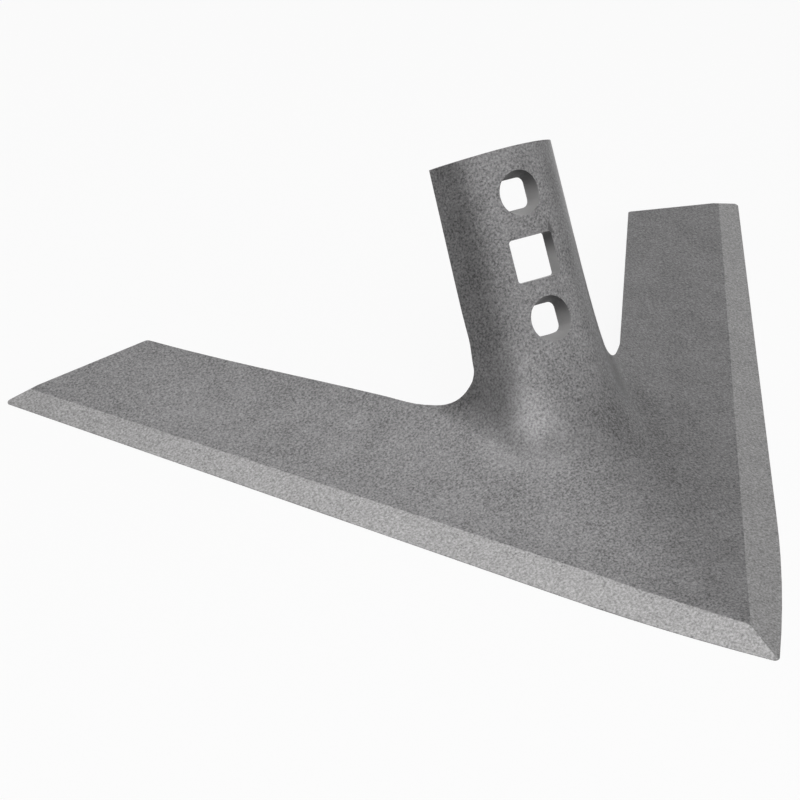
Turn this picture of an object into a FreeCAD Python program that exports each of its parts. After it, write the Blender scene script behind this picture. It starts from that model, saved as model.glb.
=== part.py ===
import FreeCAD
import Part
import math
import os
from FreeCAD import Vector

# Cultivator sweep, one pressed and ground steel plate. Millimetres and degrees.
# Modelled with the nose at Y = 0 and the wings running back along +Y, +Z up, cutting edges on Z = 0.

# Blade outline seen from above
overall_width = 278.0
wing_reach = 217.9
wing_end_skew = 1.6
nose_set_back = 7.56
nose_half_angle = 39.0
nose_tip_radius = 1.5
wing_corner_radius = 1.0
wing_end_width = 48.6
wing_end_corner_radius = 2.0

# Wing surface
plate = 5.4
wing_lift = 11.8
root_rise = 3.55
root_rise_span = 36.0
twist_start_x = 36.0
twist_end_x = 91.0

# Ground bevel along the cutting edge
bevel_line_opening = 0.9
bevel_apex_y = 13.3
bevel_height = 3.0
edge_land = 0.25

# Ridge over the blade
ridge_blend_nose = 2.0
ridge_blend_crown = 36.0
ridge_blend_span = 30.0
hump_height = 1.4
hump_start_y = 16.8
hump_full_y = 127.0
hump_width_nose = 22.0
hump_spread = 0.1
hump_fade = 12.3
crown_blend = 38.0

# Stem, a channel with its round side to the front
stem_lean = 31.6
stem_radius = 23.4
stem_half_width_top = 21.0
stem_half_width_root = 21.7
stem_above_hole = 33.5
stem_end_crown = 0.9

# Notch beside the stem, and how far its root lies from the line of the wing's rear edge
notch_y = 126.5
notch_root_radius = 1.6
notch_side_radius = 17.0
notch_to_rear_edge = 5.7

# Bolt holes
square_hole_y = 130.0
square_hole_z = 59.3
square_hole_width = 14.5
square_hole_height = 13.0
square_hole_corner = 1.0
upper_hole_offset = 19.6
lower_hole_offset = 18.6
hole_mouth = 13.6
hole_neck = 9.2
hole_neck_corner = 2.2


def rad(angle):
    return math.radians(angle)


# the straight cutting edges would meet ahead of the nose, which is set back behind that point
rounded_angle = math.atan2(overall_width / 2, wing_reach + nose_set_back)
# the sharp corner stands outside the rounded one that the overall width is taken over
corner_gain = math.tan(rounded_angle) + 1 / math.cos(rounded_angle) - 1
half_width = overall_width / 2 + wing_corner_radius * corner_gain
edge_angle = math.atan2(half_width, wing_reach + nose_set_back)
bevel_angle = edge_angle + rad(bevel_line_opening)
rear_edge_x = half_width - wing_end_width
lean = rad(stem_lean)
stem_up = Vector(0, math.sin(lean), math.cos(lean))
stem_out = Vector(0, -math.cos(lean), math.sin(lean))
hole_centre = Vector(0, square_hole_y, square_hole_z)
stem_top_z = square_hole_z + stem_above_hole * math.cos(lean)
flank_turn = math.asin(min(0.91, stem_half_width_root / stem_radius))


def ease(value):
    value = min(1.0, max(0.0, value))
    return value * value * (3 - 2 * value)


def stem_depth(x):
    # how far the channel falls back from its crest, carried on along its tangent
    flank_x = stem_radius * math.sin(flank_turn)
    reach = min(abs(x), flank_x)
    arc = stem_radius - math.sqrt(stem_radius ** 2 - reach ** 2)
    return arc + (abs(x) - reach) * math.tan(flank_turn)


def stem_height(x, y):
    crest = square_hole_z + (y - square_hole_y) / math.tan(lean)
    return crest - stem_depth(x) / math.sin(lean)


def wing_height(x, y, rounding):
    # plane wings, dished up towards the stem, with a rounded hump along the ridge
    spread = abs(x) + max(rounding - abs(x), 0.0) ** 3 / (3 * rounding ** 2)
    behind = math.sin(bevel_angle) * (y - bevel_apex_y - spread / math.tan(bevel_angle))
    inboard = ease((twist_end_x - abs(x)) / (twist_end_x - twist_start_x))
    dish = root_rise * inboard * (max(behind, 0.0) / root_rise_span) ** 2
    grow = ease((y - hump_start_y) / (hump_full_y - hump_start_y)) * ease(behind / hump_fade)
    width = hump_width_nose + hump_spread * max(y, 0.0)
    hump = hump_height * grow / (1 + (x / width) ** 2) ** 2
    return bevel_height + math.tan(rad(wing_lift)) * behind + dish + hump


def ridge_blend(y):
    grow = ease((y - bevel_apex_y) / ridge_blend_span)
    return ridge_blend_nose + (ridge_blend_crown - ridge_blend_nose) * grow


def front_height(x, y, rounding=None):
    wing = wing_height(x, y, ridge_blend(y) if rounding is None else rounding)
    stem = stem_height(x, y)
    near = max(crown_blend - abs(wing - stem), 0.0)
    return max(wing, stem) + near ** 3 / (6 * crown_blend ** 2)


def front_point(x, y, rounding=None):
    return Vector(x, y, front_height(x, y, rounding))


def front_normal(x, y, rounding=None):
    step = 0.05
    dx = (front_height(x + step, y, rounding) - front_height(x - step, y, rounding)) / (2 * step)
    dy = (front_height(x, y + step, rounding) - front_height(x, y - step, rounding)) / (2 * step)
    normal = Vector(-dx, -dy, 1)
    normal.normalize()
    return normal


def grid_lines():
    # close lines over the stem and crown, wider ones over the wings
    near = stem_half_width_root * 2.08
    far = half_width * 1.134
    inner = [near * i / 23 for i in range(0, 24)]
    outer = [near + (far - near) * i / 15 for i in range(1, 16)]
    side = inner + outer
    across = [-x for x in reversed(side[1:])] + side
    along = [wing_reach * (-0.11 + 1.193 * i / 65) for i in range(0, 66)]
    return across, along


def surface_face(offset, rounding):
    across, along = grid_lines()
    rows = []
    for x in across:
        row = []
        for y in along:
            point = front_point(x, y, rounding)
            if offset:
                point = point - front_normal(x, y, rounding) * offset
            row.append(point)
        rows.append(row)
    surface = Part.BSplineSurface()
    surface.interpolate(rows)
    return surface.toShape()


def wing_end_y(x):
    return wing_reach - (half_width - abs(x)) * math.tan(rad(wing_end_skew))


def nose_arc():
    # the arc leaves the tip at the nose angle and meets the straight edge in line with it
    start = rad(nose_half_angle)
    straight = edge_angle
    miss = nose_set_back * math.sin(straight)
    radius = miss / (1 - math.cos(start - straight))
    centre = Vector(-radius * math.cos(start), radius * math.sin(start), 0)
    mid_angle = (start + straight) / 2
    middle = centre + Vector(radius * math.cos(mid_angle), -radius * math.sin(mid_angle), 0)
    end = centre + Vector(radius * math.cos(straight), -radius * math.sin(straight), 0)
    return centre, radius, middle, end


def mirrored(point):
    return Vector(-point.x, point.y, point.z)


def blade_blank():
    tip = Vector(0, 0, 0)
    centre, radius, middle, end = nose_arc()
    corner = Vector(half_width, wing_reach, 0)
    waist = Vector(0, wing_end_y(0), 0)
    edges = [
        Part.Arc(tip, middle, end).toShape(),
        Part.makeLine(end, corner),
        Part.makeLine(corner, waist),
        Part.makeLine(waist, mirrored(corner)),
        Part.makeLine(mirrored(corner), mirrored(end)),
        Part.Arc(mirrored(end), mirrored(middle), tip).toShape(),
    ]
    blank = Part.Face(Part.Wire(edges)).extrude(Vector(0, 0, stem_top_z * 1.15))
    tip_edges = []
    outer_edges = []
    for edge in blank.Edges:
        first, last = edge.Vertexes[0].Point, edge.Vertexes[-1].Point
        if abs(first.z - last.z) < stem_top_z:
            continue
        if abs(first.x) < 0.01 and first.y < 1:
            tip_edges.append(edge)
        elif abs(abs(first.x) - half_width) < 0.01:
            outer_edges.append(edge)
    blank = blank.makeFillet(nose_tip_radius, tip_edges)
    outer_edges = [
        edge for edge in blank.Edges
        if abs(edge.Vertexes[0].Z - edge.Vertexes[-1].Z) > stem_top_z
        and abs(abs(edge.Vertexes[0].X) - half_width) < 0.01
    ]
    return blank.makeFillet(wing_corner_radius, outer_edges)


def plate_solid():
    down = Vector(0, 0, -4 * stem_top_z)
    front = surface_face(0.0, None).extrude(down)
    back = surface_face(plate, ridge_blend_crown).extrude(down)
    return blade_blank().common(front).cut(back)


def between(centre, first, last, radius):
    half = (first - centre) + (last - centre)
    half.normalize()
    return centre + half * radius


def notch_root():
    return Vector(stem_half_width_root + notch_root_radius, notch_y + notch_root_radius, 0)


def rear_edge():
    # the rear corner at the wing's end, and which way the edge runs out to it past the notch
    corner = Vector(rear_edge_x, wing_end_y(rear_edge_x), 0)
    reach = corner - notch_root()
    turn = math.atan2(reach.y, reach.x) + math.asin(notch_to_rear_edge / reach.Length)
    return corner, Vector(math.cos(turn), math.sin(turn), 0)


def plan_outline():
    # right half from above: in along the rear edge, round the notch, up the side of the stem
    corner, along = rear_edge()
    inward = Vector(-along.y, along.x, 0)
    root = notch_root()
    # the wide arc is tangent to the rear edge and runs into the root arc
    gap = corner + inward * notch_side_radius - root
    slide = gap.dot(along)
    span = (notch_side_radius - notch_root_radius) ** 2 - gap.dot(gap) + slide * slide
    touch = corner + along * (math.sqrt(span) - slide)
    centre = touch + inward * notch_side_radius
    down = root - centre
    down.normalize()
    meet = centre + down * notch_side_radius
    side = Vector(stem_half_width_root, root.y, 0)
    end_y = square_hole_y + stem_above_hole * math.sin(lean) + stem_radius / 2
    top = Vector(stem_half_width_top, end_y, 0)
    past = side + (top - side) * 2.2
    return [
        (Part.makeLine(corner + along * wing_end_width / 4, touch), 14),
        (Part.Arc(touch, between(centre, touch, meet, notch_side_radius), meet).toShape(), 10),
        (Part.Arc(meet, between(root, meet, side, notch_root_radius), side).toShape(), 6),
        (Part.makeLine(side, past), 18),
    ]


def outline_points():
    # each point with how plumb the edge is there: 1 along the wing, 0 up the stem
    points = []
    plumb = []
    shares = ((1.0, 1.0), (1.0, 0.45), (0.45, 0.0), (0.0, 0.0))
    for (edge, count), (first, last) in zip(plan_outline(), shares):
        found = edge.discretize(count + 1)
        if points and (found[-1] - points[-1]).Length < (found[0] - points[-1]).Length:
            found.reverse()
        share = [first + (last - first) * i / count for i in range(count + 1)]
        start = 1 if points else 0
        points.extend(found[start:])
        plumb.extend(share[start:])
    return list(zip(points, plumb))


def side_strip(sign):
    # cut plumb along the wings, turning square to the plate up the stem
    outer = []
    inner = []
    for point, plumb in outline_points():
        x = sign * point.x
        base = front_point(x, point.y, ridge_blend_crown)
        normal = front_normal(x, point.y, ridge_blend_crown)
        way = Vector(0, 0, 1) * plumb + normal * (1 - plumb)
        way = way * (1 / way.dot(normal))
        outer.append(base + way * plate * 0.75)
        inner.append(base - way * plate * 1.75)
    curves = []
    for line in (outer, inner):
        curve = Part.BSplineCurve()
        curve.interpolate(line)
        curves.append(curve.toShape())
    return Part.makeRuledSurface(curves[0], curves[1])


def bevel_tool(sign):
    # ground from the bevel line down to the cutting edge, station by station along the wing
    outward = Vector(math.cos(bevel_angle), -math.sin(bevel_angle), 0)
    wires = []
    for share in (-0.065, 0.0, 0.036, 0.072, 0.11, 0.15, 0.2, 0.26, 0.36, 0.54, 0.75, 1.045):
        x = half_width * share
        y = bevel_apex_y + x / math.tan(bevel_angle)
        # the upper line lies on the plate where the ridge is rounded
        on_plate = front_height(max(x, 0.0), max(y, bevel_apex_y))
        upper = Vector(x, y, min(on_plate, bevel_height))
        reach = bevel_reach(upper, outward)
        slope = (upper.z - edge_land) / reach
        fall = Vector(outward.x, outward.y, -slope)
        low = upper + fall * (reach + bevel_height * 2.7)
        high = upper - fall * (bevel_height * 0.67)
        rise = Vector(0, 0, stem_top_z / 3)
        corners = [high, low, low + rise, high + rise]
        corners = [Vector(sign * p.x, p.y, p.z) for p in corners]
        wires.append(Part.makePolygon(corners + corners[:1]))
    return Part.makeLoft(wires, True, False)


def bevel_reach(upper, outward):
    # distance from the bevel line out to the cutting edge, square to the bevel line
    centre, radius, middle, end = nose_arc()
    along = Vector(math.sin(edge_angle), math.cos(edge_angle), 0)
    across = Vector(along.y, -along.x, 0)
    base = Vector(upper.x, upper.y, 0)
    corner = Vector(half_width, wing_reach, 0)
    reach = (corner - base).dot(across) / outward.dot(across)
    hit = base + outward * reach
    if (hit - end).dot(along) < 0:
        offset = base - centre
        b = offset.dot(outward)
        c = offset.dot(offset) - radius ** 2
        reach = -b + math.sqrt(b * b - c)
    return reach


def hole_frame(offset):
    return hole_centre + stem_up * offset


def place(shape, centre):
    # shape drawn in X and Y with Z towards the front of the stem
    matrix = FreeCAD.Matrix()
    rows = [Vector(1, 0, 0), stem_up, stem_out]
    matrix.A11, matrix.A12, matrix.A13 = rows[0].x, rows[1].x, rows[2].x
    matrix.A21, matrix.A22, matrix.A23 = rows[0].y, rows[1].y, rows[2].y
    matrix.A31, matrix.A32, matrix.A33 = rows[0].z, rows[1].z, rows[2].z
    matrix.A14, matrix.A24, matrix.A34 = centre.x, centre.y, centre.z
    return shape.transformGeometry(matrix)


def rounded_square(width, height, corner, z):
    w, h = width / 2, height / 2
    bend = corner * (1 - math.cos(math.pi / 4))
    edges = []
    for x, y in ((1, 1), (-1, 1), (-1, -1), (1, -1)):
        first = Vector(x * w, y * (h - corner), z)
        last = Vector(x * (w - corner), y * h, z)
        middle = Vector(x * (w - bend), y * (h - bend), z)
        if x * y < 0:
            first, last = last, first
        edges.append(Part.Arc(first, middle, last).toShape())
        ahead = Vector(-last.x, last.y, z) if x * y > 0 else Vector(last.x, -last.y, z)
        edges.append(Part.makeLine(last, ahead))
    return Part.Wire(edges)


def eight_arc_circle(diameter, share, z):
    # a circle split where the corners and flats of the square neck meet it
    r = diameter / 2
    edges = []
    for quarter in range(4):
        turn = math.pi / 2 * quarter
        for first, last in ((share, math.pi / 2 - share), (math.pi / 2 - share, math.pi / 2 + share)):
            angles = (first + turn, (first + last) / 2 + turn, last + turn)
            points = [Vector(r * math.cos(a), r * math.sin(a), z) for a in angles]
            edges.append(Part.Arc(*points).toShape())
    return Part.Wire(edges)


def square_cut():
    wire = rounded_square(square_hole_width, square_hole_height, square_hole_corner, -plate * 5)
    return place(Part.Face(wire).extrude(Vector(0, 0, plate * 9)), hole_frame(0))


def tapered_cut(offset):
    # round at the front, drawn down to a square neck at the back of the plate
    share = math.atan2(hole_neck / 2 - hole_neck_corner, hole_neck / 2)
    mouth = eight_arc_circle(hole_mouth, share, 0.0)
    proud = eight_arc_circle(hole_mouth, share, plate)
    neck = rounded_square(hole_neck, hole_neck, hole_neck_corner, -plate)
    taper = Part.makeLoft([mouth, neck], True, True)
    lead = Part.makeLoft([proud, mouth], True, True)
    through = Part.Face(neck).extrude(Vector(0, 0, -plate * 4))
    return place(taper.fuse(lead).fuse(through), hole_frame(offset))


def stem_end_cut():
    # the stem's end is very slightly crowned
    deep = stem_top_z * 0.7
    side = Vector(stem_half_width_top, stem_above_hole - stem_end_crown, -deep)
    crown = Vector(0, stem_above_hole, -deep)
    circle = Part.Circle(mirrored(side), crown, side)
    keep = Part.Face(Part.Wire([circle.toShape()])).extrude(Vector(0, 0, deep * 2))
    wide = stem_half_width_root * 2.6
    low = stem_above_hole - stem_half_width_top / 2
    block = Part.makeBox(wide * 2, stem_top_z * 2, deep * 1.96, Vector(-wide, low, -deep * 0.98))
    return place(block.cut(keep), hole_frame(0))


def inside_piece(shape, point):
    for solid in shape.Solids:
        if solid.isInside(point, 1e-4, True):
            return solid
    raise ValueError("the outline left no piece at the wing")


def round_wing_ends(body):
    # the inner rear corner of each wing is rounded right through the plate
    corners = []
    for edge in body.Edges:
        first, last = edge.Vertexes[0].Point, edge.Vertexes[-1].Point
        spread = max(math.hypot(abs(p.x) - rear_edge_x, p.y - wing_end_y(rear_edge_x)) for p in (first, last))
        if spread < plate / 4 and abs(first.z - last.z) > plate / 2:
            corners.append(edge)
    return body.makeFillet(wing_end_corner_radius, corners)


def wing_middle():
    # a point inside the plate near the wing's end, midway between its two edges
    back = wing_end_width * 0.4
    along = rear_edge()[1]
    x = (half_width + rear_edge_x - back * (math.tan(edge_angle) + along.x / along.y)) / 2
    y = wing_reach - back
    return front_point(x, y) - front_normal(x, y) * (plate / 2)


def sweep():
    body = plate_solid()
    print("plate", body.isValid(), len(body.Solids), round(body.Volume))
    pieces, _ = body.generalFuse([side_strip(1), side_strip(-1)])
    body = inside_piece(pieces, wing_middle())
    print("outline", body.isValid(), round(body.Volume), len(pieces.Solids))
    body = round_wing_ends(body)
    body = body.cut(stem_end_cut())
    body = body.cut(bevel_tool(1)).cut(bevel_tool(-1))
    print("bevels", body.isValid(), round(body.Volume), len(body.Solids))
    for tool in (square_cut(), tapered_cut(upper_hole_offset), tapered_cut(-lower_hole_offset)):
        body = body.cut(tool)
    print("holes", body.isValid(), round(body.Volume), len(body.Solids))
    body = body.Solids[0]
    # the origin goes on the ground, midway between the nose and the wing ends
    box = body.optimalBoundingBox(False, False)
    print("nose at", round(box.YMin, 3), "wing ends at", round(box.YMax, 3), "ground at", round(box.ZMin, 3))
    body.translate(Vector(0, -(box.YMin + box.YMax) / 2, -box.ZMin))
    return body


os.makedirs("parts", exist_ok=True)
shape = sweep()
shape.exportStep("parts/sweep.step")
box = shape.optimalBoundingBox(False, False)
print("box", [round(v, 2) for v in (box.XMin, box.YMin, box.ZMin, box.XMax, box.YMax, box.ZMax)])
print("faces", len(shape.Faces), "volume", round(shape.Volume))
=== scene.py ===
import math

import bpy
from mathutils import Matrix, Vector

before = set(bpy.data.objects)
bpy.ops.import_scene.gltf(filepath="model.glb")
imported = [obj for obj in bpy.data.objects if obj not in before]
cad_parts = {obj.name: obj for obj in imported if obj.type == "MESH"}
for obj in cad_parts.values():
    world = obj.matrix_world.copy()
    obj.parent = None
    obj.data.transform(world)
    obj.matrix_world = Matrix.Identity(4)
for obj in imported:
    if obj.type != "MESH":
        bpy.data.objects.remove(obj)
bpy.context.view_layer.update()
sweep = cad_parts["sweep"]
print("frame loaded")

# Camera, above and to the left of the nose
cameraSet = {
    "place": (-0.31107, -0.47747, 0.39138),
    "aim": (0.3936, 0.7390, -0.5467),
    "lens": 102.36,
    "sensor": 36.0,
    "clipStart": 0.01,
}


def addCamera(values):
    data = bpy.data.cameras.new("camera")
    data.sensor_width = values["sensor"]
    data.lens = values["lens"]
    data.clip_start = values["clipStart"]
    camera = bpy.data.objects.new("camera", data)
    bpy.context.scene.collection.objects.link(camera)
    camera.location = values["place"]
    camera.rotation_euler = Vector(values["aim"]).to_track_quat("-Z", "Y").to_euler()
    bpy.context.scene.camera = camera


addCamera(cameraSet)
bpy.context.scene.view_settings.view_transform = "Standard"
print("camera placed")


class Wire:
    # a shader socket that takes part in plain sums
    def __init__(self, tree, socket):
        self.tree, self.socket = tree, socket

    def sum(self, kind, *values):
        node = self.tree.nodes.new("ShaderNodeMath")
        node.operation = kind
        for socket, value in zip(node.inputs, values or (self,)):
            if isinstance(value, Wire):
                self.tree.links.new(value.socket, socket)
            else:
                socket.default_value = value
        return Wire(self.tree, node.outputs[0])

    def __add__(self, other):
        return self.sum("ADD", self, other)

    def __radd__(self, other):
        return self.sum("ADD", other, self)

    def __sub__(self, other):
        return self.sum("SUBTRACT", self, other)

    def __rsub__(self, other):
        return self.sum("SUBTRACT", other, self)

    def __mul__(self, other):
        return self.sum("MULTIPLY", self, other)

    def __rmul__(self, other):
        return self.sum("MULTIPLY", other, self)

    def __abs__(self):
        return self.sum("ABSOLUTE")


class Graph:
    # adds nodes to one node tree
    def __init__(self, tree):
        self.tree = tree

    def put(self, socket, value):
        if isinstance(value, Wire):
            self.tree.links.new(value.socket, socket)
        else:
            socket.default_value = value

    def add(self, kind, settings=None, inputs=None, out=0):
        # settings come first, then a value or a link for each socket
        node = self.tree.nodes.new("ShaderNode" + kind)
        for name, value in (settings or {}).items():
            setattr(node, name, value)
        for name, value in (inputs or {}).items():
            self.put(node.inputs[name], value)
        if isinstance(out, tuple):
            return [Wire(self.tree, node.outputs[name]) for name in out]
        return Wire(self.tree, node.outputs[out])

    def rise(self, value, low, high):
        # 0 below low, 1 above high, smooth between
        ends = {"Value": value, "From Min": low, "From Max": high}
        return self.add("MapRange", {"interpolation_type": "SMOOTHSTEP"}, ends)

    def noise(self, place, pattern):
        # centred on 0, within about half a unit either way
        scale, detail, rough = pattern
        values = {"Vector": place, "Scale": scale, "Detail": detail, "Roughness": rough}
        return self.add("TexNoise", None, values) - 0.5

    def blend(self, share, first, second):
        # colours; the colour sockets of the Mix node go by number
        return self.add("Mix", {"data_type": "RGBA"}, {0: share, 6: first, 7: second}, 2)

    def dot(self, vector, way):
        return self.add("VectorMath", {"operation": "DOT_PRODUCT"}, {0: vector, 1: way}, "Value")


class Shader(Graph):
    def __init__(self, name):
        self.material = bpy.data.materials.new(name)
        self.material.use_nodes = True
        super().__init__(self.material.node_tree)
        self.surface = self.tree.nodes["Principled BSDF"]

    def feed(self, name, value):
        self.put(self.surface.inputs[name], value)

    def shaded(self, grey, spread, change):
        # a grey made lighter where change is over 0 and darker where it is under
        dark, light = [(*[part * (1 + side * spread) for part in grey], 1) for side in (-1, 1)]
        return self.blend(change + 0.5, dark, light)


# Pressed plate, with the finer bands, edges and marks that are worked on it. Metres.
steelLook = {
    "grey": (0.165, 0.163, 0.165),
    "groundGrey": (0.254, 0.251, 0.251),
    "edgeGrey": (0.125, 0.122, 0.122),
    "punchedGrey": (0.330, 0.326, 0.326),
    # painted shade for the upper part of each hole wall
    "paintedWallShadeGrey": (0.052, 0.051, 0.052),
    "markGrey": (0.050, 0.049, 0.050),
    "spread": 0.6,  # how much darker and lighter each grey may turn
    "metallic": 0.35,
    "specular": 0.125,
    "roughness": 0.35,
    # noise patterns: scale, detail, roughness
    "grain": (1500.0, 2.0, 0.65),
    "mottle": (95.0, 3.0, 0.6),
    "cloud": (24.0, 2.0, 0.5),
    "waver": (60.0, 2.0, 0.5),
    "grind": (1100.0, 3.0, 0.7),
    "shear": (1300.0, 3.0, 0.7),
    # how strongly each pattern shows in a finish
    "skinMix": {"grain": 2.2, "mottle": 0.44, "cloud": 0.24},
    "groundMix": {"grind": 0.30, "grain": 1.76, "mottle": 0.22},
    "edgeMix": {"shear": 1.1, "mottle": 1.0},
    "paintedWallShadeMix": {"grain": 1.0, "mottle": 1.0},
    "dullMix": {"mottle": 0.12, "grain": 0.10, "ground": -0.04, "edge": 0.12, "wall": 0.12},
    "reliefMix": {"pits": 1.0, "groundLines": 0.4, "shearMarks": 1.0, "mottle": 1.5},
    "groundPits": 0.5,  # the share of the pits that grinding leaves
    "bumpHeight": 0.00006,
    "bumpStrength": 0.6,
    # painted highlight and painted shade in soft spots round the crown, standing in for the light and
    # shade of its curves: x, y, reach, how much lighter or darker
    "paintedLightAndShade": (
        (-0.020, -0.004, 0.013, 0.16),
        (-0.019, 0.006, 0.011, 0.20),
        (-0.012, -0.012, 0.009, 0.10),
        (-0.004, -0.012, 0.009, 0.11),
        (0.024, -0.008, 0.024, -0.15),
        (0.020, -0.032, 0.024, -0.08),
        (-0.008, -0.024, 0.013, -0.08),
    ),
    "paintedLightFacing": (0.0, 0.3),
}

# Bevel line in plan: ground steel lies ahead of it, from its apex out along each wing
bevelPlan = {
    "apexY": -0.0957,
    "slope": 1.5577,
    "waver": 0.0007,
    "soft": 0.00025,
    "facing": (-0.4, -0.1),
    "angle": 32.7,
    "lineStretch": 0.05,
}

# Plate edges left by the shear: how they face, and how long their marks are drawn
edgePlan = {"plumb": (0.15, 0.25), "rear": (0.35, 0.45), "side": (0.15, 0.25), "markStretch": 0.08}

# Stem: its lean from upright, the middle of its square hole, how far off the others lie, and its marks
stemPlan = {
    "lean": 31.6,
    "hole": (0.0, 0.02063, 0.0593),
    "upper": 0.0196,
    "lower": 0.0186,
    "holeHalf": 0.0082,
    "holeSoft": 0.0004,
    "rowEnds": (0.0079, 0.0087),  # past the middles of the outer holes
    "wallFacing": (0.72, 0.86),
    # where the painted shade begins up each hole wall
    "wallShadeRise": (-0.0022, 0.0052),
    "smearX": 0.0072,
    "smearWidth": (0.0002, 0.0015),
    "smearStart": (0.0050, 0.0064),
    "smearEnd": (0.0066, 0.0115),
    "smearFacing": (0.80, 0.90),
    "smearDepth": 0.8,
}


def together(parts, shares):
    return sum(parts[name] * share for name, share in shares.items())


def forgedSteel(look, bevel, edges, stem):
    shader = Shader("forgedSteel")
    place = shader.add("TexCoord", out="Object")
    facing = shader.add("NewGeometry", out="Normal")
    x, y, z = shader.add("SeparateXYZ", None, {0: place}, ("X", "Y", "Z"))
    nx, ny, nz = shader.add("SeparateXYZ", None, {0: facing}, ("X", "Y", "Z"))
    out = abs(x)
    parts = {name: shader.noise(place, look[name]) for name in ("grain", "mottle", "cloud")}

    # pressed skin: fine pits and two sizes of cloud, with painted highlight and painted shade in soft
    # spots where it turns up into the stem
    skinAndPaintedLight = together(parts, look["skinMix"])
    # the painted highlight and painted shade lie only on faces that turn upward
    upward = shader.rise(nz, *look["paintedLightFacing"])
    for px, py, reach, change in look["paintedLightAndShade"]:
        apart = (x - px) * (x - px) + (y - py) * (y - py)
        skinAndPaintedLight = skinAndPaintedLight + (1 - shader.rise(apart, 0.0, reach * reach)) * upward * change
    colour = shader.shaded(look["grey"], look["spread"], skinAndPaintedLight)

    # ground bands, with lines across the cutting edge
    turn = math.radians(bevel["angle"])
    along = out * math.sin(turn) + y * math.cos(turn)
    across = out * math.cos(turn) - y * math.sin(turn)
    ahead = out * bevel["slope"] + bevel["apexY"] - y
    ahead = ahead + shader.noise(place, look["waver"]) * bevel["waver"]
    ground = shader.rise(ahead, -bevel["soft"], bevel["soft"]) * shader.rise(nz, *bevel["facing"])
    lines = shader.add("CombineXYZ", None, {"X": along, "Y": across * bevel["lineStretch"], "Z": 0.0})
    parts["grind"] = shader.noise(lines, look["grind"])
    bright = shader.shaded(look["groundGrey"], look["spread"], together(parts, look["groundMix"]))
    colour = shader.blend(ground, colour, bright)

    # sheared plate edges, with marks through the thickness
    plumb = 1 - shader.rise(abs(nz), *edges["plumb"])
    outward = shader.rise(nx * x.sum("SIGN"), *edges["side"])
    edge = shader.rise(ny, *edges["rear"]) * plumb.sum("MAXIMUM", plumb, outward)
    marks = shader.add("CombineXYZ", None, {"X": x, "Y": y, "Z": z * edges["markStretch"]})
    parts["shear"] = shader.noise(marks, look["shear"])
    sheared = shader.shaded(look["edgeGrey"], look["spread"], together(parts, look["edgeMix"]))
    colour = shader.blend(edge, colour, sheared)

    # hole walls are bright where the punch sheared them; higher up in each hole they carry painted
    # shade
    lean = math.radians(stem["lean"])
    front = shader.dot(facing, (0.0, -math.cos(lean), math.sin(lean)))
    middle = stem["hole"][1] * math.sin(lean) + stem["hole"][2] * math.cos(lean)
    up = y * math.sin(lean) + z * math.cos(lean) - middle
    upper = up.sum("GREATER_THAN", up, stem["upper"] / 2) * stem["upper"]
    lower = up.sum("LESS_THAN", up, -stem["lower"] / 2) * stem["lower"]
    inHole = up - upper + lower
    holeEnds = stem["holeHalf"] - stem["holeSoft"], stem["holeHalf"] + stem["holeSoft"]
    rowEnds = [stem["upper"] + end for end in stem["rowEnds"]]
    wall = 1 - shader.rise(out, *holeEnds)
    wall = wall * (1 - shader.rise(abs(inHole), *holeEnds))
    wall = wall * (1 - shader.rise(abs(up), *rowEnds))
    wall = wall * (1 - shader.rise(abs(front), *stem["wallFacing"]))
    colour = shader.blend(wall, colour, (*look["punchedGrey"], 1))
    # painted shade over the upper part of each hole wall
    paintedWallShade = wall * shader.rise(inHole, *stem["wallShadeRise"])
    dark = shader.shaded(look["paintedWallShadeGrey"], look["spread"], together(parts, look["paintedWallShadeMix"]))
    colour = shader.blend(paintedWallShade, colour, dark)

    # dark smear that runs up from the square hole's right upper corner
    smear = 1 - shader.rise(abs(x - stem["smearX"]), *stem["smearWidth"])
    smear = smear * shader.rise(up, *stem["smearStart"]) * (1 - shader.rise(up, *stem["smearEnd"]))
    smear = smear * shader.rise(front, *stem["smearFacing"]) * stem["smearDepth"]
    colour = shader.blend(smear, colour, (*look["markGrey"], 1))
    shader.feed("Base Color", colour)

    # smoother where ground, duller where sheared or punched
    parts.update(ground=ground, edge=edge, wall=wall)
    shader.feed("Roughness", together(parts, look["dullMix"]) + look["roughness"])
    shader.feed("Metallic", look["metallic"])
    shader.feed("Specular IOR Level", look["specular"])
    parts["pits"] = parts["grain"] * (1 - ground * (1 - look["groundPits"]))
    parts["groundLines"] = parts["grind"] * ground
    parts["shearMarks"] = parts["shear"] * edge
    relief = together(parts, look["reliefMix"])
    bump = {"Height": relief, "Strength": look["bumpStrength"], "Distance": look["bumpHeight"]}
    shader.feed("Normal", shader.add("Bump", None, bump))
    return shader.material


sweep.data.materials.clear()
sweep.data.materials.append(forgedSteel(steelLook, bevelPlan, edgePlan, stemPlan))
print("steel dressed")

# Lamps: azimuth round from the nose towards +X, height above the ground, how brightly each lights
lampSet = {
    "distance": 1.5,
    "size": 0.75,
    "target": (0.0, 0.0, 0.02),
    "lamps": {
        "right": (67, 8, 0.340),
        "rightRaised": (56, 28, 0.121),
        "nearLeft": (-34, 28, 0.176),
        "front": (-4, 28, 0.188),
        "nearRight": (26, 28, 0.445),
        "back": (180, 50, 0.340),
        "leftHigh": (-60, 50, 0.901),
        "frontHigh": (-20, 50, 0.562),
        "topRight": (144, 72, 0.457),
        "topLeft": (-144, 72, 0.405),
    },
    "surround": 0.02,
    # azimuth and height of the middle, the angles where it starts and ends to fade, its depth
    "corners": {"nearLeft": (-75, 0, 20, 45, 1.0)},
}


def lampWay(azimuth, height):
    a, h = math.radians(azimuth), math.radians(height)
    return Vector((math.sin(a) * math.cos(h), -math.cos(a) * math.cos(h), math.sin(h)))


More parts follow.
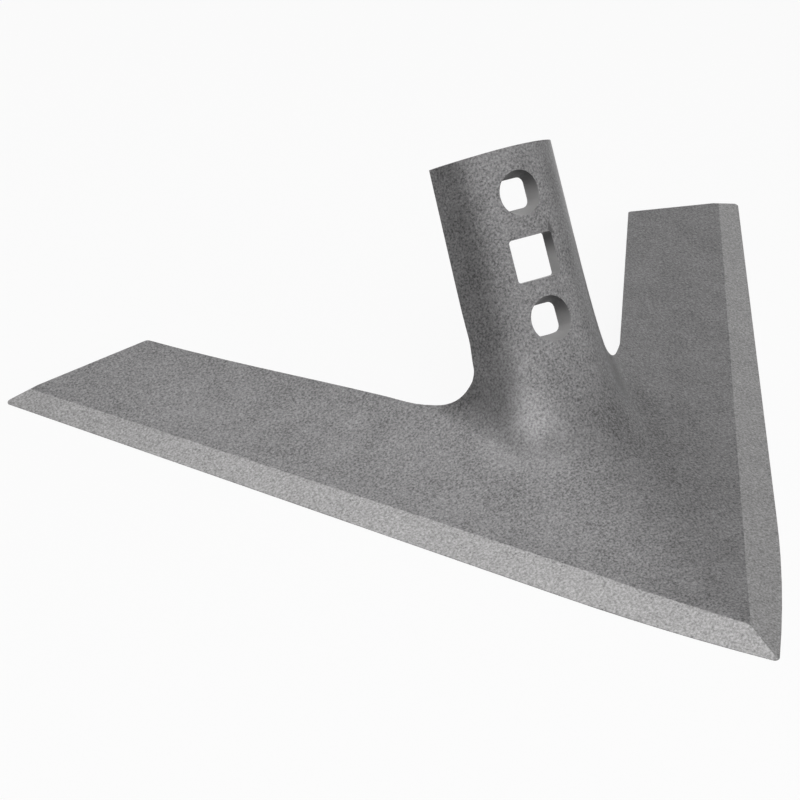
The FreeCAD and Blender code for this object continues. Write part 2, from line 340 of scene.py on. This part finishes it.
def addLamps(values):
    target = Vector(values["target"])
    for name, (azimuth, height, light) in values["lamps"].items():
        way = lampWay(azimuth, height)
        data = bpy.data.lights.new(name, "AREA")
        data.size = values["size"]
        data.energy = light * math.pi * values["distance"] ** 2
        lamp = bpy.data.objects.new(name, data)
        bpy.context.scene.collection.objects.link(lamp)
        lamp.location = target + way * values["distance"]
        lamp.rotation_euler = way.to_track_quat("Z", "Y").to_euler()


def seen(graph):
    # 1 for what the camera sees, straight or in a reflection
    names = ("Is Camera Ray", "Is Glossy Ray", "Is Transmission Ray")
    camera, glossy, through = graph.add("LightPath", out=names)
    return camera.sum("MINIMUM", camera + glossy + through, 1.0)


def addWorld(values):
    world = bpy.data.worlds.new("surround")
    world.use_nodes = True
    bpy.context.scene.world = world
    graph = Graph(world.node_tree)
    background = world.node_tree.nodes["Background"]
    graph.put(background.inputs["Color"], (1, 1, 1, 1))
    # reflections also show the darker corners of the room
    looking = graph.add("TexCoord", out="Object")
    lit = 1.0
    for azimuth, height, inner, outer, depth in values["corners"].values():
        ends = math.cos(math.radians(outer)), math.cos(math.radians(inner))
        lit = lit * (1 - graph.rise(graph.dot(looking, lampWay(azimuth, height)), *ends) * depth)
    reflected = graph.add("LightPath", out="Is Glossy Ray")
    surround = values["surround"]
    strength = (seen(graph) * (1 - surround) + surround) * (1 - (1 - lit) * reflected)
    graph.put(background.inputs["Strength"], strength)


addLamps(lampSet)
addWorld(lampSet)
print("lamps placed")

floorSet = {"size": 8.0, "grey": (0.9, 0.9, 0.9, 1), "white": 0.88}


def addFloor(values):
    bpy.ops.object.select_all(action="DESELECT")
    bpy.ops.mesh.primitive_plane_add(size=values["size"])
    floor = bpy.context.object
    floor.name = "floor"
    shader = Shader("whiteFloor")
    shader.feed("Base Color", values["grey"])
    shader.feed("Roughness", 1.0)
    plain = Wire(shader.tree, shader.surface.outputs[0])
    glow = shader.add("Emission", None, {"Color": (1, 1, 1, 1), "Strength": 1.0})
    mixed = shader.add("MixShader", None, {0: seen(shader) * values["white"], 1: plain, 2: glow})
    shader.put(shader.tree.nodes["Material Output"].inputs["Surface"], mixed)
    floor.data.materials.append(shader.material)


addFloor(floorSet)
print("floor laid")
